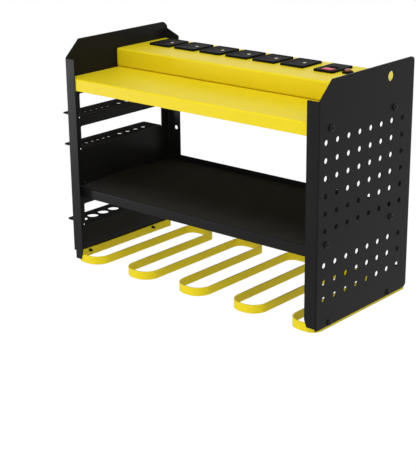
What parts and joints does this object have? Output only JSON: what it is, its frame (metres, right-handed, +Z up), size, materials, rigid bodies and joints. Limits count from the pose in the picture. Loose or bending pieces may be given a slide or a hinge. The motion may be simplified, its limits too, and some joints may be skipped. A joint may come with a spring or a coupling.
{
  "type": "wall mounted power tool organizer",
  "caption": "Wall rack of folded sheet steel: perforated side panels, shelves, a serpentine strip that cordless tools hang in, and a power strip on the top shelf.",
  "frame": {"origin": "on the wall plane, midway between the side panels, level with their lower edge", "axes": "+X to the right as one faces the wall, +Y into the wall, +Z up"},
  "size_m": [0.4803, 0.21, 0.3245],
  "materials": {
    "panel_black": "fine textured powder coat, satin",
    "yellow_paint": "smooth powder coat",
    "black_plastic": "moulded, satin",
    "grey_plastic": "moulded",
    "red_plastic": "glossy",
    "brown_plastic": "glossy",
    "brass": "stamped",
    "black_steel": "black oxide",
    "wire_black": "sleeve"
  },
  "bodies": {
    "frame": {"left_side_panel": "panel_black", "right_side_panel": "panel_black", "mid_shelf": "panel_black", "top_shelf": "yellow_paint", "tool_rack": "yellow_paint", "power_housing": "yellow_paint", "outlet_1": "black_plastic", "outlet_2": "black_plastic", "outlet_3": "black_plastic", "outlet_4": "black_plastic", "outlet_5": "black_plastic", "outlet_6": "black_plastic", "live_rail": "brass", "neutral_rail": "brass", "earth_rail": "brass", "rail_tray": "grey_plastic", "switch_body": "black_plastic", "breaker_body": "black_plastic", "breaker_ring": "black_plastic", "switch_tab_front": "brass", "breaker_tab_front": "brass", "switch_tab_rear": "brass", "breaker_tab_rear": "brass", "breaker_wire": "wire_black", "rail_wire": "wire_black", "gland_bushing": "black_plastic", "gland_nut": "black_plastic", "screw_left_top_front": "black_steel", "screw_left_top_rear": "black_steel", "screw_left_mid_front": "black_steel", "screw_left_mid_rear": "black_steel", "screw_left_rack_front": "black_steel", "screw_left_rack_rear": "black_steel", "screw_right_top_front": "black_steel", "screw_right_top_rear": "black_steel", "screw_right_mid_front": "black_steel", "screw_right_mid_rear": "black_steel", "screw_right_rack_front": "black_steel", "screw_right_rack_rear": "black_steel", "housing_screw_1": "black_steel", "housing_screw_2": "black_steel", "housing_screw_3": "black_steel", "housing_screw_4": "black_steel"},
    "rocker": {"rocker": "red_plastic"},
    "reset_button": {"reset_button": "brown_plastic"}
  },
  "joints": [
    {"name": "rocker_tilt", "type": "hinge", "parent": "frame", "child": "rocker", "pos_m": [0.1218, -0.0495, 0.296], "axis": [1, 0, 0], "range_deg": [0, 18]},
    {"name": "reset_press", "type": "slide", "parent": "frame", "child": "reset_button", "axis": [0, 0, 1], "range_m": [-0.0025, 0], "stiffness_N_per_m": 600}
  ]
}
